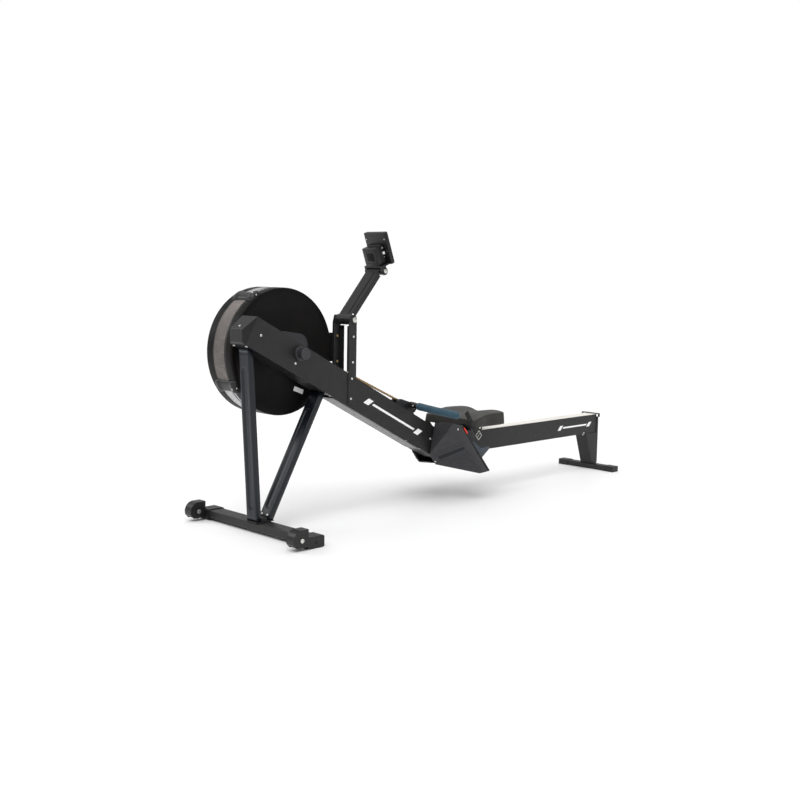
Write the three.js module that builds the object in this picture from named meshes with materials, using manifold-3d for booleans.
// Indoor rowing machine with an air flywheel, a chain and handle, and a seat that rolls on a rail.
// Millimetres. +X runs from the flywheel to the rear foot, +Z is up, Y is 0 on the middle plane,
// and "near" is the -Y side. Heights count from the floor.
import * as THREE from 'three'
import { ConvexGeometry } from 'three/addons/geometries/ConvexGeometry.js'
import { mergeVertices } from 'three/addons/utils/BufferGeometryUtils.js'
import Module from 'manifold-3d'

const wasm = await Module()
wasm.setup()

const degree = Math.PI / 180
const fit = 0.3

// ---- Driving dimensions: front foot and transport wheels -------------------------------------
const footSpan = 650
const footBarDepth = 68
const footBarHeight = 30
const footBarLift = 10
const footBarX = 4
const footBarWall = 3
const endCapLength = 55
const endCapWall = 3.5
const wheelRadius = 30
const wheelWidth = 31
const wheelLift = 8
const wheelAhead = 35
const wheelGap = 4
const fenderWall = 3
const fenderInset = 38
const wheelAxleRadius = 5
const axleHead = 8
const axleHeadThickness = 4

// ---- Driving dimensions: legs ----------------------------------------------------------------
const legWidth = 62
const legSheet = 3
const legRib = 3
const legRibWidth = 24
const frontLegDepth = 21
const frontLegLean = 3.5
const frontLegX = -31
const braceLegDepth = 21
const braceLegLean = 28.7
const braceLegX = 21
const legPlate = 4
const legPlateOverhang = 3

// ---- Driving dimensions: main beam -----------------------------------------------------------
const beamHeight = 114
const beamWidth = 90
const beamSheet = 3
const beamLip = 22
const beamZ = 716
const beamFront = -75
const beamRearX = 905
const beamRearDrop = 22
const noseLength = 16
const noseWidth = 70
const noseHeight = 48
const plugLength = 22
const trayWidth = 76
const trayDepth = 4
const traySheet = 2
const trayStartX = 318
const trayEndX = 840

// ---- Driving dimensions: flywheel and its housing --------------------------------------------
const hubX = 156
const hubAboveBeam = 24
const housingRadius = 242
const housingGap = 5
const housingDepth = 155
const coverRim = 39
const coverSheet = 3
const bandSheet = 2.5
const clampHeight = 15
const clampLength = 124
const clampSpread = 5.5
const upperClampAngle = 121
const lowerClampAngle = 210
const clampBoss = 9
const clampBossLength = 26
const inletInner = 58
const inletOuter = 112
const inletSlots = 8
const inletSlotAngle = 22
const flywheelGap = 33.5
const flywheelDisc = 4
const flywheelHub = 34
const vaneCount = 24
const vaneStart = 95
const vaneSideGap = 32.5
const vaneSheet = 3
const axleRadius = 9
const sprocketRadius = 26
const sprocketWidth = 6
const hubCapRadius = 22
const hubCapCollar = 27
const hubCapReach = 38
const hubCapCollarLength = 12
const damperSheet = 3
const damperReach = 170
const damperAngle = -62
const damperWidth = 18
const damperTip = 26
const idlerRadius = 22
const idlerAxle = 5
const idlerX = 820
const idlerDrop = 14

// ---- Driving dimensions: chain and handle ----------------------------------------------------
const chainWidth = 8
const chainHeight = 10
const handleX = 806
const handleAboveBeam = 47.4
const handleHalfSpan = 250
const handleSweepBack = 20
const handleDroop = 16
const coreRadius = 11
const gripRadius = 16
const gripStart = 38
const gripEndWall = 6
const shackleLength = 26
const shackleWidth = 20
const hookAhead = 52
const hookLength = 52
const hookSheet = 5
const hookGap = 24
const hookHeight = 44
const hookOverlap = 7

// ---- Driving dimensions: monitor mount -------------------------------------------------------
const uprightX = 421
const uprightWidth = 41
const uprightSheet = 3
const uprightFlange = 22
const uprightOverlap = 8
const armPivotX = 427
const armPivotZ = 780
const armLength = 249
const armAngle = 49.7
const armWidth = 70
const armSheet = 3
const armDepth = 22
const knuckleRadius = 20
const topKnuckleRadius = 15
const topKnuckleHalf = 38
const armPinRadius = 6
const monitorTilt = 20.8
const monitorWidth = 119
const monitorHeight = 130
const monitorThickness = 19
const monitorDrop = 16
const monitorReach = 37
const boxWidth = 75
const boxHeight = 73
const boxDepth = 49
const lugWidth = 12
const lugRadius = 16
const linkBlockAbove = 66
const linkBlockBelow = 47
const linkBlockWidth = 44

// ---- Driving dimensions: footrests -----------------------------------------------------------
const boardBehindBeam = 20
const boardAboveRail = 59
const boardLength = 279
const boardTilt = 49.1
const boardGap = 5
const boardWidth = 130
const boardSheet = 6
const guardSheet = 3
const guardFrontAhead = 38
const guardFrontDrop = 131
const guardKeelDrop = 176
const heelWidth = 96
const heelHeight = 74
const heelWall = 4
const heelPlace = 176
const heelLength = 82
const strapWidth = 38
const strapSheet = 2.5
const strapPlace = 62
const strapRise = 58

// ---- Driving dimensions: rail, rear leg and rear foot ----------------------------------------
const railWidth = 60
const railTop = 275
const railHeight = 91
const railWall = 3
const railLength = 1205
const railGap = 7
const trackSheet = 2.3
const trackOverhang = 1
const railPlug = 70
const railLockReach = 60
const rearLegTopInset = 89
const rearLegBottomInset = 32
const rearLegOverhang = 13
const rearLegSheet = 3
const rearPlateDrop = 13
const rearFootSpan = 328
const rearFootDepth = 45
const rearFootHeight = 23
const rearFootInset = 16
const rearCapLength = 53
const rearCapWall = 2.5
const stopOverhang = 21
const stopHeight = 19
const stopDepth = 14
const stopSheet = 4

// ---- Driving dimensions: seat ----------------------------------------------------------------
const seatFromBeam = 239
const seatLength = 214
const seatWidth = 292
const seatHigh = 66
const carriageSheet = 4
const carriageLength = 150
const carriageGap = 5
const carriageSkirt = 44
const rollerRadius = 13
const rollerWidth = 12
const rollerAxle = 5
const rollerSpread = 52

// ---- Lines and places that several pieces share ----------------------------------------------
const beamSlope = (beamZ - railTop + beamRearDrop) / beamRearX
const beamTilt = Math.atan(beamSlope) / degree
const beamHalf = beamHeight / 2 / Math.cos(beamTilt * degree)
const beamCentreAt = (x) => beamZ - x * beamSlope
const beamTopAt = (x) => beamCentreAt(x) + beamHalf
const beamBottomAt = (x) => beamCentreAt(x) - beamHalf
const alongBeam = (x) => x / Math.cos(beamTilt * degree)
const onBeam = (solid) => tilted(solid, beamTilt, 0, beamZ)
const beamSide = beamWidth / 2
const footTop = footBarLift + footBarHeight
const barFrontX = footBarX - footBarDepth / 2
const barRearX = footBarX + footBarDepth / 2
const wheelX = barFrontX - wheelAhead
const wheelZ = wheelRadius + wheelLift
const fenderRadius = wheelRadius + wheelGap + fenderWall
const fenderWidth = wheelWidth + 2 * (fenderWall + 2)
const fenderY = footSpan / 2 - fenderInset
const hubZ = beamCentreAt(hubX) + hubAboveBeam
const housingNearY = beamSide + housingGap
const housingFarY = housingNearY + housingDepth
const clampRadius = housingRadius + clampHeight
const idlerZ = beamCentreAt(idlerX) - idlerDrop
const flywheelRadius = housingRadius - flywheelGap
const handleZ = beamTopAt(handleX) + handleAboveBeam
const hookX = handleX - hookAhead
const boardTopX = beamRearX + boardBehindBeam
const boardTopZ = railTop + boardAboveRail
const boardCos = Math.cos(boardTilt * degree)
const boardSin = Math.sin(boardTilt * degree)
const boardBottomX = boardTopX + boardLength * boardCos
const boardBottomZ = boardTopZ - boardLength * boardSin
const boardInner = beamSide + boardGap
const boardOuter = boardInner + boardWidth
const boardMiddle = (boardInner + boardOuter) / 2
const railHalf = railWidth / 2
const railBottom = railTop - railHeight
const railStartX = beamRearX + railGap
const railEndX = railStartX + railLength
const trackTop = railTop + fit + trackSheet
const rearFootX = railEndX - rearFootInset
const rearFootTop = rearFootHeight + rearCapWall
const rearLegRearX = railEndX + rearLegOverhang
const rollerZ = trackTop + fit + rollerRadius
const seatX = beamRearX + seatFromBeam
const seatBase = rollerZ + rollerRadius + 0.8 + carriageSheet + fit
const carriageSide = railHalf + carriageGap + carriageSheet
const overallFrontX = Math.min(hubX - clampRadius, wheelX - fenderRadius)
const centreX = (overallFrontX + rearLegRearX) / 2

// ---- Solid helpers ---------------------------------------------------------------------------
function toManifold(geometry) {
  const plain = geometry.clone()
  plain.deleteAttribute('normal')
  plain.deleteAttribute('uv')
  const welded = mergeVertices(plain, 1e-4)
  const mesh = new wasm.Mesh({
    numProp: 3,
    vertProperties: new Float32Array(welded.attributes.position.array),
    triVerts: new Uint32Array(welded.index.array),
  })
  return new wasm.Manifold(mesh)
}

function toGeometry(solid) {
  const mesh = solid.getMesh()
  const geometry = new THREE.BufferGeometry()
  geometry.setAttribute('position', new THREE.BufferAttribute(new Float32Array(mesh.vertProperties), 3))
  geometry.setIndex(new THREE.BufferAttribute(new Uint32Array(mesh.triVerts), 1))
  return geometry
}

function union(...solids) {
  return solids.reduce((whole, solid) => whole.add(solid))
}

function box(x0, x1, y0, y1, z0, z1) {
  const geometry = new THREE.BoxGeometry(x1 - x0, y1 - y0, z1 - z0)
  geometry.translate((x0 + x1) / 2, (y0 + y1) / 2, (z0 + z1) / 2)
  return toManifold(geometry)
}

// A cylinder along Y.
function rodY(x, z, radius, y0, y1, segments = 24) {
  const geometry = new THREE.CylinderGeometry(radius, radius, y1 - y0, segments)
  geometry.translate(x, (y0 + y1) / 2, z)
  return toManifold(geometry)
}

// A shape drawn in X and Z, made solid from y0 to y1.
function plateXZ(shape, y0, y1, segments = 5) {
  const options = { depth: y1 - y0, bevelEnabled: false, curveSegments: segments }
  const geometry = new THREE.ExtrudeGeometry(shape, options)
  geometry.rotateX(Math.PI / 2)
  geometry.translate(0, y1, 0)
  return toManifold(geometry)
}

// A shape drawn in Y and Z, made solid from x0 to x1.
function plateYZ(shape, x0, x1, segments = 6) {
  const options = { depth: x1 - x0, bevelEnabled: false, curveSegments: segments }
  const geometry = new THREE.ExtrudeGeometry(shape, options)
  const turn = new THREE.Matrix4().makeBasis(
    new THREE.Vector3(0, 1, 0), new THREE.Vector3(0, 0, 1), new THREE.Vector3(1, 0, 0))
  geometry.applyMatrix4(turn)
  geometry.translate(x0, 0, 0)
  return toManifold(geometry)
}

function outline(...points) {
  return new THREE.Shape(points.map(([x, y]) => new THREE.Vector2(x, y)))
}

function roundedRect(x0, x1, y0, y1, radius) {
  const shape = new THREE.Shape()
  shape.absarc(x1 - radius, y1 - radius, radius, 0, 90 * degree)
  shape.absarc(x0 + radius, y1 - radius, radius, 90 * degree, 180 * degree)
  shape.absarc(x0 + radius, y0 + radius, radius, 180 * degree, 270 * degree)
  shape.absarc(x1 - radius, y0 + radius, radius, 270 * degree, 360 * degree)
  shape.closePath()
  return shape
}

// Part of a ring around the flywheel axis, from one angle to another.
function ringPart(inner, outer, from, to, y0, y1) {
  const shape = new THREE.Shape()
  shape.absarc(hubX, hubZ, outer, from * degree, to * degree, false)
  shape.absarc(hubX, hubZ, inner, to * degree, from * degree, true)
  shape.closePath()
  const steps = Math.max(4, Math.ceil(Math.abs(to - from) / 5))
  return plateXZ(shape, y0, y1, steps)
}

// A ring-shaped solid around the flywheel axis, from its section drawn as radius and Y.
function turned(points, segments = 54) {
  const section = [...points, points[0]].map(([radius, y]) => new THREE.Vector2(radius, y))
  const geometry = new THREE.LatheGeometry(section, segments)
  geometry.translate(hubX, 0, hubZ)
  return toManifold(geometry)
}

function hull(...points) {
  return toManifold(new ConvexGeometry(points.map(([x, y, z]) => new THREE.Vector3(x, y, z))))
}

// Turns a solid about Y, so that its own X runs down towards +X, and puts its origin at x, z.
function tilted(solid, angle, x, z) {
  return solid.rotate([0, angle, 0]).translate([x, 0, z])
}

function mirrored(solid) {
  return solid.mirror([0, 1, 0])
}

function sweep(curve, radius, steps, sides = 8) {
  const section = new THREE.Shape().absarc(0, 0, radius, 0, 2 * Math.PI)
  const options = { steps, extrudePath: curve, bevelEnabled: false, curveSegments: sides }
  return toManifold(new THREE.ExtrudeGeometry(section, options))
}

// ---- Materials -------------------------------------------------------------------------------
const looks = {
  powderBlack: { color: 0x3a3a3c, roughness: 0.55, metalness: 0.3 },
  legBlack: { color: 0x2d323c, roughness: 0.38, metalness: 0.4 },
  coverBlack: { color: 0x1b1817, roughness: 0.5, metalness: 0 },
  plasticBlack: { color: 0x26262a, roughness: 0.5, metalness: 0 },
  footrestGrey: { color: 0x46464a, roughness: 0.6, metalness: 0 },
  meshGrey: { color: 0x736c69, roughness: 0.5, metalness: 0.6 },
  bandGrey: { color: 0xb9b9bb, roughness: 0.35, metalness: 0.8 },
  alloy: { color: 0xa4a6a9, roughness: 0.4, metalness: 0.8 },
  steel: { color: 0xc6c2ba, roughness: 0.3, metalness: 0.9 },
  chainGold: { color: 0x9c7c4c, roughness: 0.4, metalness: 0.8 },
  gripTeal: { color: 0x3e5869, roughness: 0.7, metalness: 0 },
  heelTeal: { color: 0x3d4d5c, roughness: 0.6, metalness: 0 },
  webbing: { color: 0x17171a, roughness: 0.9, metalness: 0 },
  seatGrey: { color: 0x3c3c3a, roughness: 0.7, metalness: 0 },
  rubber: { color: 0x202022, roughness: 0.8, metalness: 0 },
}

const rower = new THREE.Group()

function part(name, look, solid) {
  const geometry = toGeometry(solid.translate([-centreX, 0, 0]))
  geometry.computeVertexNormals()
  const mesh = new THREE.Mesh(geometry, new THREE.MeshStandardMaterial(looks[look]))
  mesh.name = name
  rower.add(mesh)
}

// The same piece on both sides: the near one as built, the far one mirrored.
function pair(name, look, solid) {
  part(`${name}_near`, look, solid)
  part(`${name}_far`, look, mirrored(solid))
}

// ---- Front foot ------------------------------------------------------------------------------
function frontFoot() {
  const barEnd = footSpan / 2 - endCapWall - fit
  const barShape = roundedRect(barFrontX, barRearX, footBarLift, footTop, 6)
  const hollow = roundedRect(barFrontX + footBarWall, barRearX - footBarWall,
    footBarLift + footBarWall, footTop - footBarWall, 3)
  const bar = plateXZ(barShape, -barEnd, barEnd).subtract(plateXZ(hollow, -barEnd - 1, barEnd + 1))
  part('front_foot_bar', 'powderBlack', bar)

  const capStart = -footSpan / 2 + endCapLength
  const capTop = footTop + endCapWall
  const capShape = roundedRect(barFrontX - endCapWall, barRearX + endCapWall, 0, capTop, 8)
  const socketShape = roundedRect(barFrontX - fit, barRearX + fit, footBarLift - fit, footTop + fit, 6)
  const socket = plateXZ(socketShape, -barEnd - fit, capStart + 1)
  const cap = plateXZ(capShape, -footSpan / 2, capStart).subtract(socket)
  pair('front_end_cap', 'rubber', cap)
}

function wheelFender() {
  const rearX = barFrontX - endCapWall - fit
  const wall = fenderWall
  const dome = (radius, rear, floor) => {
    const shape = new THREE.Shape()
    shape.moveTo(rear, floor)
    shape.lineTo(rear, wheelZ + radius)
    shape.absarc(wheelX, wheelZ, radius, 90 * degree, 200 * degree, false)
    shape.lineTo(wheelX - radius * 0.6, floor)
    shape.closePath()
    return shape
  }
  const outside = plateXZ(dome(fenderRadius, rearX, 12), -fenderY - fenderWidth, -fenderY, 14)
  const wellShape = dome(fenderRadius - wall, rearX + 1, 0)
  const well = plateXZ(wellShape, -fenderY - fenderWidth + wall, -fenderY - wall, 14)
  const bore = rodY(wheelX, wheelZ, wheelAxleRadius + fit, -fenderY - fenderWidth - 1, -fenderY + 1)
  pair('wheel_fender', 'plasticBlack', outside.subtract(well).subtract(bore))

  const middle = -fenderY - fenderWidth / 2
  const tyre = rodY(wheelX, wheelZ, wheelRadius, middle - wheelWidth / 2, middle + wheelWidth / 2, 40)
  const hole = rodY(wheelX, wheelZ, wheelAxleRadius + fit, middle - wheelWidth, middle + wheelWidth)
  pair('transport_wheel', 'rubber', tyre.subtract(hole))

  const outer = -fenderY - fenderWidth - fit
  const inner = -fenderY + fit
  const pin = rodY(wheelX, wheelZ, wheelAxleRadius, outer - 1, inner + 1)
  const heads = [rodY(wheelX, wheelZ, axleHead, outer - axleHeadThickness, outer, 24),
    rodY(wheelX, wheelZ, axleHead, inner, inner + axleHeadThickness, 24)]
  pair('wheel_axle', 'steel', union(pin, ...heads))
}

// ---- Legs ------------------------------------------------------------------------------------
// A pressed sheet leg: a web that faces forward with a long rounded rib, and a flange on each side.
function pressedLeg(depth, length) {
  const half = legWidth / 2
  const web = box(0, legSheet, -half, half, -40, length)
  const flanges = [-1, 1].map((side) => {
    const inner = side * (half - legSheet)
    const outer = side * half
    return box(0, depth, Math.min(inner, outer), Math.max(inner, outer), -40, length)
  })
  const rib = (grow, x0, x1) => plateYZ(roundedRect(-legRibWidth / 2 - grow, legRibWidth / 2 + grow,
    45 - grow, length - 95 + grow, legRibWidth / 2 + grow - 0.1), x0, x1)
  return union(web, ...flanges, rib(legSheet, 0.5, legSheet + legRib)).subtract(rib(0, -1, legRib))
}

function legs() {
  const floor = footTop + fit + legPlate + fit
  const below = onBeam(box(-400, 900, -200, 200, -900, -beamHeight / 2 - fit))
  const above = box(-400, 900, -200, 200, floor, 2000)
  const trim = (leg) => leg.intersect(below).intersect(above)
  const frontLength = beamBottomAt(frontLegX) - floor + 60
  const front = tilted(pressedLeg(frontLegDepth, frontLength), -frontLegLean, frontLegX, floor)
  part('front_leg', 'legBlack', trim(front))
  const braceTopX = braceLegX + 255
  const braceLength = (beamBottomAt(braceTopX) - floor) / Math.cos(braceLegLean * degree) + 60
  const brace = tilted(pressedLeg(braceLegDepth, braceLength), braceLegLean, braceLegX, floor)
  part('brace_leg', 'legBlack', trim(brace))

  const half = legWidth / 2
  const plateFront = frontLegX - legPlateOverhang
  const plateRear = braceLegX + braceLegDepth / Math.cos(braceLegLean * degree) + legPlateOverhang
  const base = box(plateFront, plateRear, -half - 2, half + 2, footTop + fit, footTop + fit + legPlate)
  const tabFront = frontLegX + frontLegDepth + 2
  const tab = box(tabFront, braceLegX - 1, -half + 4, half - 4, footTop + fit, floor + 12)
  part('leg_bracket', 'powderBlack', union(base, tab))
}

// ---- Main beam -------------------------------------------------------------------------------
function mainBeam() {
  const half = beamHeight / 2
  const inner = beamSide - beamSheet
  const length = alongBeam(beamRearX) + 200
  const outside = box(beamFront, length, -beamSide, beamSide, -half, half)
  const inside = box(beamFront - 1, length + 1, -inner, inner, -half + beamSheet, half - beamSheet)
  const slotHalf = beamSide - beamLip
  const topSlot = box(alongBeam(60), length + 1, -slotHalf, slotHalf, 0, half + 1)
  const bottomSlot = box(alongBeam(trayStartX + 20), alongBeam(trayEndX - 20), -24, 24, -half - 1, 0)
  const behind = box(-400, beamRearX, -200, 200, -200, 1200)
  const axleHole = rodY(hubX, hubZ, axleRadius + fit, -beamSide - 1, beamSide + 1)
  const idlerHole = rodY(idlerX, idlerZ, idlerAxle + fit, -beamSide - 1, beamSide + 1)
  const shell = onBeam(outside.subtract(inside).subtract(topSlot).subtract(bottomSlot))
  part('main_beam', 'powderBlack', shell.intersect(behind).subtract(axleHole).subtract(idlerHole))

  const trayHalf = trayWidth / 2
  const trayTop = -half - fit
  const trayBottom = trayTop - trayDepth
  const trayFrom = alongBeam(trayStartX)
  const trayTo = alongBeam(trayEndX)
  const trayOuter = box(trayFrom, trayTo, -trayHalf, trayHalf, trayBottom, trayTop)
  const trayInner = box(trayFrom + traySheet, trayTo - traySheet,
    -trayHalf + traySheet, trayHalf - traySheet, trayBottom + traySheet, trayTop + 1)
  const braceSide = box(-400, trayStartX + 12, -200, 200, -200, 1200)
  part('beam_tray', 'powderBlack', onBeam(trayOuter.subtract(trayInner)).subtract(braceSide))
}

function beamNose() {
  const half = beamHeight / 2
  const turn = beamTilt * degree
  const cornerX = (v) => (beamFront - fit) * Math.cos(turn) + v * Math.sin(turn)
  const cornerZ = (v) => beamZ - (beamFront - fit) * Math.sin(turn) + v * Math.cos(turn)
  const frontX = cornerX(-half) - noseLength / 2
  const frontTop = cornerZ(half) - noseHeight + 3
  const frontBottom = cornerZ(-half) + 9
  const corners = []
  for (const side of [-1, 1]) {
    corners.push([cornerX(half), side * beamSide, cornerZ(half)])
    corners.push([cornerX(-half), side * beamSide, cornerZ(-half)])
    corners.push([frontX, side * noseWidth / 2, frontTop])
    corners.push([frontX, side * noseWidth / 2, frontBottom])
  }
  const inner = beamSide - beamSheet - fit
  const plug = onBeam(box(beamFront - fit - 1, beamFront + plugLength, -inner, inner,
    -half + beamSheet + fit, half - beamSheet - fit))
  part('beam_front_cap', 'plasticBlack', union(hull(...corners), plug))
}

// ---- Flywheel and housing --------------------------------------------------------------------
function housing() {
  const outer = housingRadius
  const inner = outer - coverSheet
  const bore = axleRadius + 6
  const near = housingNearY
  const far = housingFarY
  const cover = (face, into) => {
    const section = [
      [bore, face], [outer - 6, face], [outer, face + 6 * into], [outer, face + coverRim * into],
      [inner, face + coverRim * into], [inner, face + (6 + coverSheet) * into],
      [outer - 8, face + coverSheet * into], [bore, face + coverSheet * into],
    ]
    return turned(into > 0 ? section : section.reverse())
  }
  const bossThickness = housingNearY - beamSide - fit - 1
  const boss = hull(...[0, 1].flatMap((end) => ringOfPoints(hubX + end * 72, hubZ + end * 22,
    end ? 46 : 78, near - bossThickness, near + 1)))
  const nearCover = union(cover(near, 1), boss.subtract(rodY(hubX, hubZ, bore, 0, 100)))
  part('housing_near_cover', 'coverBlack', nearCover)

  let farCover = cover(far, -1)
  for (const slot of inletOpenings(far - 20, far + 10)) farCover = farCover.subtract(slot)
  part('housing_far_cover', 'coverBlack', farCover)

  const between = [near + coverRim + fit, far - coverRim - fit]
  const seam = 0.1
  part('air_mesh', 'meshGrey', ringPart(outer - bandSheet, outer, upperClampAngle + seam,
    lowerClampAngle - seam, ...between))
  part('housing_band', 'bandGrey', ringPart(outer - bandSheet - 1, outer - 1, lowerClampAngle + seam,
    360 + upperClampAngle - seam, ...between))

  const clamp = (angle) => {
    const from = angle - clampSpread
    const to = angle + clampSpread
    const block = ringPart(outer + fit, clampRadius, from, to, near + 2, near + clampLength)
    const bossX = hubX + (clampRadius - 4) * Math.cos(angle * degree)
    const bossZ = hubZ + (clampRadius - 4) * Math.sin(angle * degree)
    const ends = [near, near + clampLength - clampBossLength].map((y) =>
      rodY(bossX, bossZ, clampBoss, y, y + clampBossLength, 24))
    const skin = rodY(hubX, hubZ, outer + fit, near - 10, far + 10, 144)
    return union(block, ...ends).subtract(skin)
  }
  part('clamp_upper', 'plasticBlack', clamp(upperClampAngle))
  part('clamp_lower', 'plasticBlack', clamp(lowerClampAngle))
}

// The air inlet's openings, which the far cover and the damper ring share.
function inletOpenings(y0, y1) {
  const openings = []
  for (let slot = 0; slot < inletSlots; slot += 1) {
    const start = slot * 360 / inletSlots
    openings.push(ringPart(inletInner, inletOuter, start, start + inletSlotAngle, y0, y1))
  }
  return openings
}

function ringOfPoints(x, z, radius, y0, y1) {
  const points = []
  for (let step = 0; step < 32; step += 1) {
    const angle = step * Math.PI / 16
    const px = x + radius * Math.cos(angle)
    const pz = z + radius * Math.sin(angle)
    points.push([px, y0, pz], [px, y1, pz])
  }
  return points
}

function flywheel() {
  const near = housingNearY
  const far = housingFarY
  const middle = (near + far) / 2
  const vaneHeight = housingDepth / 2 - vaneSideGap
  const halfDisc = flywheelDisc / 2
  const disc = rodY(hubX, hubZ, flywheelRadius, middle - halfDisc, middle + halfDisc, 72)
  const hub = rodY(hubX, hubZ, flywheelHub, middle - vaneHeight + 5, middle + vaneHeight - 5)
  let wheel = union(disc, hub)
  for (let vane = 0; vane < vaneCount; vane += 1) {
    const blade = box(vaneStart, flywheelRadius - 3, middle - vaneHeight, middle + vaneHeight,
      -vaneSheet / 2, vaneSheet / 2)
    wheel = wheel.add(tilted(blade, vane * 360 / vaneCount, hubX, hubZ))
  }
  const bore = rodY(hubX, hubZ, axleRadius + fit, near, far)
  part('flywheel', 'alloy', wheel.subtract(bore))

  const start = -beamSide - 8
  const end = far - coverSheet - 12
  part('flywheel_axle', 'steel', rodY(hubX, hubZ, axleRadius, start, end))

  const half = sprocketWidth / 2
  let sprocket = union(rodY(hubX, hubZ, sprocketRadius - 3, -half, half), rodY(hubX, hubZ, 15, -12, 12))
  const teeth = 14
  for (let tooth = 0; tooth < teeth; tooth += 1) {
    const spike = hull([sprocketRadius - 8, -half, -4], [sprocketRadius - 8, -half, 4],
      [sprocketRadius - 8, half, -4], [sprocketRadius - 8, half, 4],
      [sprocketRadius, -half / 2, -1], [sprocketRadius, -half / 2, 1],
      [sprocketRadius, half / 2, -1], [sprocketRadius, half / 2, 1])
    sprocket = sprocket.add(tilted(spike, tooth * 360 / teeth, hubX, hubZ))
  }
  part('chain_sprocket', 'steel', sprocket.subtract(rodY(hubX, hubZ, axleRadius + fit, -50, 50)))

  const face = -beamSide - fit
  const collar = rodY(hubX, hubZ, hubCapCollar, face - hubCapCollarLength, face, 40)
  const knob = rodY(hubX, hubZ, hubCapRadius, face - hubCapReach, face - hubCapCollarLength + 1, 40)
  const inside = rodY(hubX, hubZ, axleRadius + 2, start - 2, 0)
  part('hub_cap', 'plasticBlack', union(collar, knob).subtract(inside))

  const damperFace = far + fit
  const damperBack = damperFace + damperSheet
  const ringInner = inletInner - 12
  const ringOuter = inletOuter + 8
  const ring = turned([[ringInner, damperFace], [ringOuter, damperFace], [ringOuter, damperBack],
    [ringInner, damperBack]])
  const side = damperWidth / 2
  const lever = box(inletOuter, damperReach, damperFace, damperBack, -side, side)
  const tip = box(damperReach - damperTip, damperReach, damperFace, damperFace + 20, -side, side)
  let damper = union(ring, tilted(union(lever, tip), damperAngle, hubX, hubZ))
  for (const slot of inletOpenings(far - 5, far + 10)) damper = damper.subtract(slot)
  part('damper_lever', 'plasticBlack', damper)

  const reach = beamSide - beamSheet - 2
  part('return_idler', 'plasticBlack', union(rodY(idlerX, idlerZ, idlerRadius, -6, 6, 40),
    rodY(idlerX, idlerZ, idlerAxle, -reach, reach)))
}

// ---- Chain and handle ------------------------------------------------------------------------
function handlePath() {
  const half = handleHalfSpan - gripEndWall - 2
  const points = [-1, -0.6, -0.2, 0, 0.2, 0.6, 1].map((share) => {
    const out = Math.abs(share)
    return new THREE.Vector3(handleX + handleSweepBack * out * out, half * share, handleZ - handleDroop * out)
  })
  return new THREE.CatmullRomCurve3(points)
}

function handle() {
  const path = handlePath()
  const core = sweep(path, coreRadius, 10)
  const shackle = box(handleX - shackleLength + 4, handleX + 6, -shackleWidth / 2, shackleWidth / 2,
    handleZ - 9, handleZ + 9)
  part('handle_bar', 'plasticBlack', union(core, shackle))

  const end = path.getPoint(0)
  const tangent = path.getTangent(0)
  const cap = new THREE.Vector3().copy(end).addScaledVector(tangent, -gripEndWall)
  const sleeve = sweep(path, gripRadius, 10)
  const tip = toManifold(new THREE.SphereGeometry(gripRadius, 16, 10)).translate(cap.toArray())
  const room = sweep(path, coreRadius + fit, 10)
  const nearSide = box(0, 2000, -handleHalfSpan * 2, -gripStart, 0, 1000)
  const roomEnd = toManifold(new THREE.SphereGeometry(coreRadius + fit, 12, 8)).translate(end.toArray())
  const grip = union(sleeve, tip).intersect(nearSide).subtract(room).subtract(roomEnd)
  pair('grip', 'gripTeal', grip)
}

function chain() {
  const endX = handleX - shackleLength + 4 - chainHeight / 4
  const endZ = handleZ
  const wrap = sprocketRadius + chainHeight / 2 + fit
  const slope = Math.atan2(hubZ + wrap - endZ, endX - hubX)
  const startX = hubX + wrap * Math.sin(slope)
  const startZ = hubZ + wrap * Math.cos(slope)
  const length = Math.hypot(endX - startX, startZ - endZ)
  const angle = Math.atan2(startZ - endZ, endX - startX) / degree
  const half = chainHeight / 2
  const run = tilted(box(0, length, -chainWidth / 2, chainWidth / 2, -half, half), angle, startX, startZ)
  const shape = new THREE.Shape()
  const low = -90 - angle - 3
  shape.absarc(hubX, hubZ, wrap + half, (90 - angle) * degree, (360 + low) * degree, false)
  shape.absarc(hubX, hubZ, wrap - half, (360 + low) * degree, (90 - angle) * degree, true)
  shape.closePath()
  const loop = plateXZ(shape, -chainWidth / 2, chainWidth / 2, 24)
  const idlerWrap = idlerRadius + half + 1
  const apart = Math.hypot(idlerX - hubX, hubZ - idlerZ)
  const back = Math.atan2(hubZ - idlerZ, idlerX - hubX) - Math.asin((wrap - idlerWrap) / apart)
  const backX = hubX - wrap * Math.sin(back)
  const backZ = hubZ - wrap * Math.cos(back)
  const backLength = Math.sqrt(apart ** 2 - (wrap - idlerWrap) ** 2)
  const backRun = tilted(box(-1, backLength, -chainWidth / 2, chainWidth / 2, -half, half),
    back / degree, backX, backZ)
  part('chain', 'chainGold', union(run, loop, backRun))
}

function handleHook() {
  const seat = beamHeight / 2 + fit
  const start = alongBeam(hookX - hookLength / 2) - seat * beamSlope
  const end = start + hookLength
  const inner = hookGap / 2
  const baseHalf = beamSide - beamLip + hookOverlap
  const base = box(start - 12, end + 8, -baseHalf, baseHalf, seat, seat + 4)
  const cheeks = [-1, 1].map((side) => {
    const y0 = Math.min(side * inner, side * (inner + hookSheet))
    return plateXZ(outline([start, seat], [end + 8, seat], [end + 30, seat + 17], [end + 34, seat + 36],
      [end + 29, seat + 36], [end + 24, seat + 29], [end + 2, seat + 29], [end - 4, seat + hookHeight],
      [start + 8, seat + hookHeight - 4]), y0, y0 + hookSheet)
  })
  const pass = box(start - 40, end + 40, -inner, inner, seat - 1, seat + 60)
  part('handle_hook', 'plasticBlack', onBeam(union(base, ...cheeks).subtract(pass)
    .add(box(start, start + 6, -inner - 1, inner + 1, seat, seat + 4))))
}

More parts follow.
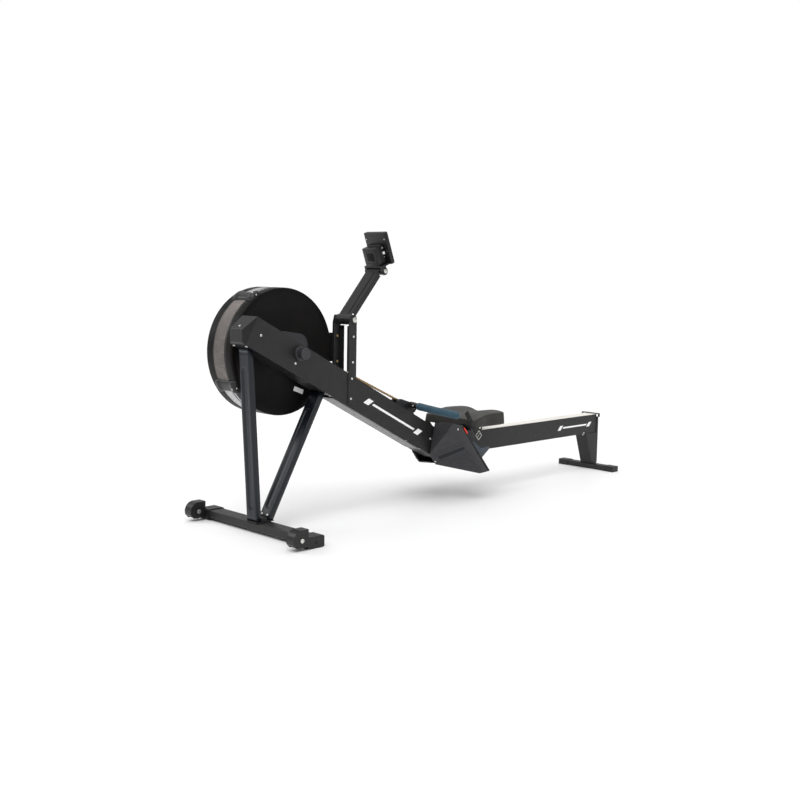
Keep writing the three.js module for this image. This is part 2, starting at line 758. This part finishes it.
// ---- Monitor mount ---------------------------------------------------------------------------
function uprights() {
  const face = -beamSide - fit
  const front = uprightX - uprightWidth / 2
  const rear = uprightX + uprightWidth / 2
  const shape = new THREE.Shape()
  shape.moveTo(front, beamBottomAt(front) + uprightOverlap)
  shape.lineTo(rear, beamBottomAt(rear) + uprightOverlap * 2)
  shape.lineTo(rear, armPivotZ)
  shape.absarc(armPivotX - 3, armPivotZ, rear - armPivotX + 3, 0, 90 * degree, false)
  shape.lineTo(front + 8, armPivotZ + rear - armPivotX + 3)
  shape.lineTo(front, armPivotZ - 12)
  shape.closePath()
  const web = plateXZ(shape, face - uprightSheet, face)
  const flangeTop = armPivotZ - knuckleRadius - 4
  const flange = (x, depth) => box(x, x + uprightSheet, face - uprightSheet, face + depth,
    beamTopAt(front) + 4, flangeTop)
  const hole = rodY(armPivotX, armPivotZ, armPinRadius + fit, face - 10, face + 10)
  const upright = union(web, flange(front, 8), flange(rear - uprightSheet, uprightFlange)).subtract(hole)
  pair('upright', 'powderBlack', upright)

  const blockRight = front - fit
  const y0 = housingNearY + 2
  const block = box(hubX + housingRadius - 26, blockRight + 9, y0, y0 + linkBlockWidth,
    hubZ - linkBlockBelow, hubZ + linkBlockAbove)
  const skin = rodY(hubX, hubZ, housingRadius + fit, 0, 300, 144)
  const notch = box(blockRight, blockRight + 20, 0, y0 - 2 + uprightSheet, 0, 1000)
  part('housing_bracket', 'plasticBlack', block.subtract(skin).subtract(notch))
}

function monitorArm() {
  const half = armWidth / 2
  const onArm = (solid) => tilted(solid, -armAngle, armPivotX, armPivotZ)
  const top = 16
  const web = box(8, armLength - 4, -half, half, top - armSheet, top)
  const rib = box(20, armLength - 20, -16, -12, top - 1, top + 2)
  const flange = (y) => box(24, armLength - 22, y, y + armSheet, top - armDepth, top)
  const low = rodY(0, 0, knuckleRadius, -beamSide + 2, beamSide - 2)
  const high = rodY(armLength, 0, topKnuckleRadius, -topKnuckleHalf, topKnuckleHalf)
  const bore = rodY(0, 0, armPinRadius + fit, -beamWidth, beamWidth)
  const bores = union(bore, bore.translate([armLength, 0, 0]))
  const arm = union(web, rib, flange(-half), flange(half - armSheet), low, high).subtract(bores)
  part('monitor_arm', 'powderBlack', onArm(arm))

  const side = beamSide + fit + uprightSheet + fit
  const lowPin = union(rodY(armPivotX, armPivotZ, armPinRadius, -side - 1, side + 1),
    rodY(armPivotX, armPivotZ, 11, -side - 5, -side, 24), rodY(armPivotX, armPivotZ, 11, side, side + 5, 24))
  part('arm_pin', 'steel', lowPin)

  const pivotX = armPivotX + armLength * Math.cos(armAngle * degree)
  const pivotZ = armPivotZ + armLength * Math.sin(armAngle * degree)
  const onMonitor = (solid) => tilted(solid, -monitorTilt, pivotX, pivotZ)
  const lug = (y) => rodY(0, 0, lugRadius, y, y + lugWidth)
  const lugY = topKnuckleHalf + fit
  const bridgeFloor = topKnuckleRadius + 2
  const bridgeTop = bridgeFloor + 7
  const bridge = box(-12, monitorReach - 2, -lugY - lugWidth, lugY + lugWidth, bridgeFloor, bridgeTop)
  const necks = [-1, 1].map((s) => box(-12, 12, Math.min(s * lugY, s * (lugY + lugWidth)),
    Math.max(s * lugY, s * (lugY + lugWidth)), 0, topKnuckleRadius + 3))
  const bracket = union(lug(lugY), lug(-lugY - lugWidth), bridge, ...necks)
    .subtract(rodY(0, 0, armPinRadius + fit, -90, 90))
  part('monitor_bracket', 'plasticBlack', onMonitor(bracket))

  const reach = lugY + lugWidth + fit
  part('monitor_pin', 'steel', union(rodY(pivotX, pivotZ, armPinRadius, -reach - 1, reach + 1),
    rodY(pivotX, pivotZ, 9, -reach - 4, -reach, 24), rodY(pivotX, pivotZ, 9, reach, reach + 4, 24)))

  const boxBottom = bridgeTop + fit
  const backBox = box(monitorReach - boxDepth, monitorReach, -boxWidth / 2, boxWidth / 2,
    boxBottom, boxBottom + boxHeight)
  part('monitor_box', 'plasticBlack', onMonitor(backBox))
  const panelShape = roundedRect(-monitorWidth / 2, monitorWidth / 2, monitorDrop,
    monitorDrop + monitorHeight, 5)
  const panel = plateYZ(panelShape, monitorReach + fit, monitorReach + monitorThickness)
  const window = box(monitorReach + monitorThickness - 2, monitorReach + monitorThickness + 1,
    -monitorWidth / 2 + 14, monitorWidth / 2 - 14, monitorDrop + 50, monitorDrop + monitorHeight - 14)
  part('monitor_case', 'plasticBlack', onMonitor(panel.subtract(window)))
}

// ---- Footrests -------------------------------------------------------------------------------
function onBoard(solid) {
  return tilted(solid, boardTilt, boardTopX, boardTopZ)
}

function footrest() {
  const inner = -boardInner
  const outer = -boardOuter
  const topRearX = boardTopX - guardSheet
  const guardFrontX = beamRearX - guardFrontAhead
  const points = [
    [topRearX - 26, inner, boardTopZ + 4], [topRearX - 37, outer + 14, boardTopZ + 15],
    [topRearX, outer, boardTopZ], [topRearX, inner, boardTopZ],
    [boardBottomX - 6, outer, boardBottomZ], [boardBottomX - 6, inner, boardBottomZ],
    [boardBottomX - 60, outer + 2, boardBottomZ - 3],
    [guardFrontX, inner, boardTopZ - guardFrontDrop], [beamRearX, inner, boardTopZ - guardKeelDrop],
  ]
  const shell = hull(...points)
  const wall = guardSheet
  const hollow = hull(...points.map(([x, y, z]) => [x + wall * 1.4, y + wall, z + wall]))
  const lid = box(0, 3000, -500, 0, 0, boardTopZ - wall)
  const openSide = box(guardFrontX + 60, boardBottomX - 30, inner - 4, inner + 20,
    boardBottomZ + 20, boardTopZ - 10)
  pair('footrest_guard', 'footrestGrey', shell.subtract(hollow.intersect(lid)).subtract(openSide))

  const plate = box(0, boardLength, outer + 1, inner - 1, fit, boardSheet)
  let board = plate
  for (let rib = 0; rib < 5; rib += 1) {
    const down = 18 + rib * 14
    board = board.add(box(down, down + 4, outer + 12, inner - 12, boardSheet - 1, boardSheet + 2))
  }
  const guide = box(120, boardLength - 12, -boardMiddle - 5, -boardMiddle + 5, -1, boardSheet + 3)
  pair('footboard', 'plasticBlack', onBoard(board.subtract(guide)))
}

function heelCup() {
  const middle = -boardMiddle
  const half = heelWidth / 2
  const seat = boardSheet + fit
  const start = heelPlace - heelLength
  const end = heelPlace + 34
  const block = box(start, end, middle - half, middle + half, seat, seat + heelHeight)
  const hollow = box(start - 1, end - heelWall, middle - half + heelWall, middle + half - heelWall,
    seat + heelWall, seat + heelHeight + 1)
  const slant = plateXZ(outline([start - 1, seat + heelWall + 4], [end - 40, seat + heelHeight + 1],
    [start - 1, seat + heelHeight + 1]), middle - half - 1, middle + half + 1)
  const dip = tilted(rodY(0, 0, 34, middle - 1000, middle + 1000), 0, end + 12, seat + heelHeight + 18)
  pair('heel_cup', 'heelTeal', onBoard(block.subtract(hollow).subtract(slant).subtract(dip)))
}

function footStrap() {
  const inside = -boardInner - 10
  const outside = -boardOuter + 8
  const middle = (inside + outside) / 2
  const half = (inside - outside) / 2
  const arch = (grow) => {
    const shape = new THREE.Shape()
    const seat = boardSheet + 2 + fit
    shape.moveTo(middle - half - grow, seat)
    shape.bezierCurveTo(middle - half - grow, seat + (strapRise + grow) * 1.3, middle + half + grow,
      seat + (strapRise + grow) * 1.3, middle + half + grow, seat)
    shape.closePath()
    return shape
  }
  const band = plateYZ(arch(0), strapPlace, strapPlace + strapWidth, 24)
    .subtract(plateYZ(arch(-strapSheet), strapPlace - 1, strapPlace + strapWidth + 1, 24))
  pair('foot_strap', 'webbing', onBoard(band))
}

// ---- Rail, rear leg and rear foot ------------------------------------------------------------
function rail() {
  const trackHalf = railHalf + trackOverhang
  const tube = box(railStartX, railEndX, -railHalf, railHalf, railBottom, railTop)
  const hollow = box(railStartX - 1, railEndX + 1, -railHalf + railWall, railHalf - railWall,
    railBottom + railWall, railTop - railWall)
  part('rail_track', 'steel', box(railStartX, railEndX, -trackHalf, trackHalf, railTop + fit, trackTop))

  const plugHalf = railHalf - railWall - fit
  const flange = box(beamRearX + fit, railStartX + 1, -railHalf, railHalf, railBottom + 4, railTop)
  const into = box(railStartX - 1, railStartX + railPlug, -railHalf + 1, railHalf - 1,
    railBottom + 1, railTop - 1)
  const lock = box(beamRearX - railLockReach, beamRearX + fit + 1, -plugHalf, plugHalf,
    railBottom + 40, railTop - 12)
  part('rail', 'powderBlack', union(tube.subtract(hollow), flange, into, lock))
}

function rearLeg() {
  const half = railHalf + fit + rearLegSheet
  const top = railBottom - fit
  const floor = rearFootTop + fit
  const rearLegTopX = railEndX - rearLegTopInset
  const rearLegBottomX = railEndX - rearLegBottomInset
  const rearPlateTop = railTop - rearPlateDrop
  const side = outline([rearLegTopX, top], [rearLegBottomX, floor], [rearLegRearX, floor],
    [rearLegRearX, top])
  const web = outline([rearLegTopX, top], [rearLegBottomX, floor],
    [rearLegBottomX + rearLegSheet, floor], [rearLegTopX + rearLegSheet, top])
  const cheeks = [plateXZ(side, -half, -half + rearLegSheet), plateXZ(side, half - rearLegSheet, half)]
  const endPlate = box(railEndX + fit, rearLegRearX, -half, half, floor, rearPlateTop)
  const inner = half - rearLegSheet
  const recess = box(railEndX + fit + 4, rearLegRearX + 1, -inner, inner, top, rearPlateTop - 4)
  const open = box(railEndX - 10, rearLegRearX + 1, -inner, inner,
    floor + rearLegSheet, top - rearLegSheet)
  const shelf = box(rearLegTopX, rearLegRearX, -half, half, top - rearLegSheet, top)
  const sole = box(rearLegBottomX, rearLegRearX, -half, half, floor, floor + rearLegSheet)
  part('rear_leg', 'powderBlack', union(plateXZ(web, -half, half), ...cheeks, endPlate, shelf, sole)
    .subtract(recess).subtract(open))
}

function rearFoot() {
  const half = rearFootDepth / 2
  const barEnd = rearFootSpan / 2 - rearCapWall - fit
  const shape = roundedRect(rearFootX - half, rearFootX + half, rearCapWall, rearFootTop, 4)
  part('rear_foot_bar', 'powderBlack', plateXZ(shape, -barEnd, barEnd))
  const wall = rearCapWall - fit
  const capShape = roundedRect(rearFootX - half - wall, rearFootX + half + wall, 0, rearFootTop + wall, 5)
  const room = roundedRect(rearFootX - half - fit, rearFootX + half + fit,
    rearCapWall - fit, rearFootTop + fit, 4)
  const start = -rearFootSpan / 2
  const cap = plateXZ(capShape, start, start + rearCapLength)
    .subtract(plateXZ(room, -barEnd - fit, start + rearCapLength + 1))
  pair('rear_foot_cap', 'rubber', cap)

  const stopHalf = railHalf + stopOverhang
  const stopX = railEndX - stopDepth
  const stopTop = trackTop + fit + stopSheet
  const barSolid = box(stopX, railEndX, -stopHalf, stopHalf, trackTop + fit, stopTop)
  const drops = [-1, 1].map((s) => box(stopX, railEndX, Math.min(s * stopHalf, s * (stopHalf - stopSheet)),
    Math.max(s * stopHalf, s * (stopHalf - stopSheet)), stopTop - stopHeight, stopTop))
  part('seat_stop', 'powderBlack', union(barSolid, ...drops))
}

// ---- Seat ------------------------------------------------------------------------------------
function seat() {
  const half = seatWidth / 2
  const shape = new THREE.Shape()
  shape.moveTo(-half + 10, seatBase)
  shape.lineTo(half - 10, seatBase)
  shape.quadraticCurveTo(half, seatBase + 6, half, seatBase + seatHigh * 0.62)
  shape.bezierCurveTo(half - 4, seatBase + seatHigh * 1.1, half * 0.4, seatBase + seatHigh * 1.12,
    0, seatBase + seatHigh * 0.74)
  shape.bezierCurveTo(-half * 0.4, seatBase + seatHigh * 1.12, -half + 4, seatBase + seatHigh * 1.1,
    -half, seatBase + seatHigh * 0.62)
  shape.quadraticCurveTo(-half, seatBase + 6, -half + 10, seatBase)
  const start = seatX - seatLength / 2
  part('seat_pad', 'seatGrey', plateYZ(shape, start, start + seatLength, 14))

  const plateTop = seatBase - fit
  const long = carriageLength / 2
  const wide = carriageSide
  const deck = box(seatX - long, seatX + long, -wide, wide, plateTop - carriageSheet, plateTop)
  const skirt = (y) => box(seatX - long, seatX + long, y, y + carriageSheet,
    plateTop - carriageSkirt, plateTop)
  const hole = (x) => rodY(x, rollerZ, rollerAxle + fit, -wide - 1, wide + 1)
  const carriage = union(deck, skirt(-wide), skirt(wide - carriageSheet))
    .subtract(hole(seatX - rollerSpread)).subtract(hole(seatX + rollerSpread))
  part('seat_carriage', 'powderBlack', carriage)

  const roller = (x) => union(rodY(x, rollerZ, rollerAxle, -wide - 3, wide + 3),
    rodY(x, rollerZ, rollerRadius, -rollerWidth - 10, rollerWidth + 10))
  part('seat_roller_front', 'rubber', roller(seatX - rollerSpread))
  part('seat_roller_rear', 'rubber', roller(seatX + rollerSpread))
}

frontFoot()
wheelFender()
legs()
mainBeam()
beamNose()
housing()
flywheel()
chain()
handle()
handleHook()
uprights()
monitorArm()
footrest()
heelCup()
footStrap()
rail()
rearLeg()
rearFoot()
seat()

export default rower
